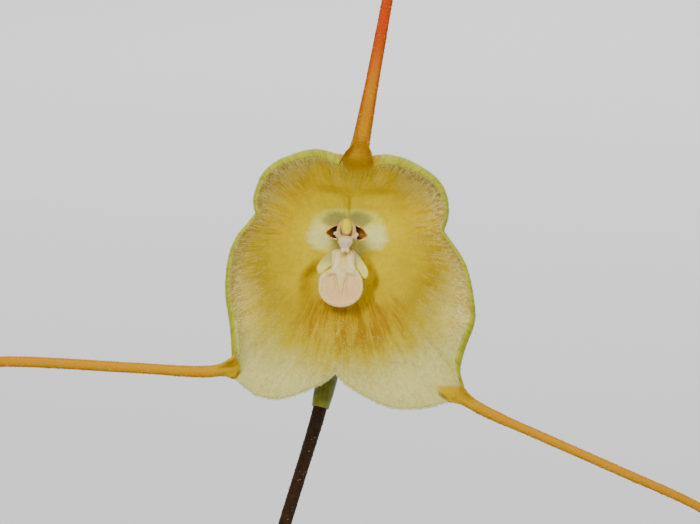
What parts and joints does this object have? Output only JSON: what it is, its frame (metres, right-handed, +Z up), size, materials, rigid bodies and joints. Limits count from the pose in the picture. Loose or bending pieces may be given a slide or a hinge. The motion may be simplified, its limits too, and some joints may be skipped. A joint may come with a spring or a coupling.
{
  "type": "dracula orchid in slatted basket",
  "caption": "Small orchid plant rooted in moss in a slatted wooden basket, with arching leaves and a yellow cup-shaped flower with long thin tails on a dark warty stem.",
  "frame": {"origin": "middle of the basket's underside, on the surface it stands on", "axes": "+Z up, +X to the right and the flower facing -Y"},
  "size_m": [0.2261, 0.2228, 0.306],
  "materials": {
    "basket_wood": "weathered, sawn",
    "rod": "dull wire",
    "moss": "matt, fibrous",
    "leaf": "smooth, slightly glossy",
    "stem": "warty, satin",
    "bract": "satin",
    "sepal": "matt, finely hairy",
    "lip": "waxy",
    "column": "waxy",
    "petal": "waxy",
    "anther": "waxy"
  },
  "bodies": {
    "root": {"floor_slat_1": "basket_wood", "floor_slat_2": "basket_wood", "floor_slat_3": "basket_wood", "floor_slat_4": "basket_wood", "floor_slat_5": "basket_wood", "floor_slat_6": "basket_wood", "floor_slat_7": "basket_wood", "wall_slat_1a": "basket_wood", "wall_slat_1b": "basket_wood", "wall_slat_2a": "basket_wood", "wall_slat_2b": "basket_wood", "wall_slat_3a": "basket_wood", "wall_slat_3b": "basket_wood", "wall_slat_4a": "basket_wood", "wall_slat_4b": "basket_wood", "wall_slat_5a": "basket_wood", "wall_slat_5b": "basket_wood", "wall_slat_6a": "basket_wood", "wall_slat_6b": "basket_wood", "corner_rod_front_left": "rod", "corner_rod_front_right": "rod", "corner_rod_back_left": "rod", "corner_rod_back_right": "rod", "leaf_shoot_01": "leaf", "leaf_shoot_02": "leaf", "leaf_shoot_03": "leaf", "leaf_shoot_04": "leaf", "leaf_shoot_05": "leaf", "leaf_shoot_06": "leaf", "leaf_shoot_07": "leaf", "leaf_shoot_08": "leaf", "leaf_shoot_09": "leaf", "leaf_shoot_10": "leaf", "leaf_shoot_11": "leaf", "leaf_shoot_12": "leaf", "flower_stem": "stem", "moss": "moss", "sepals": "sepal", "column": "column", "anther_cap": "anther", "petal_left": "petal", "petal_right": "petal", "lip": "lip", "ovary": "bract", "bract": "bract"}
  },
  "joints": []
}
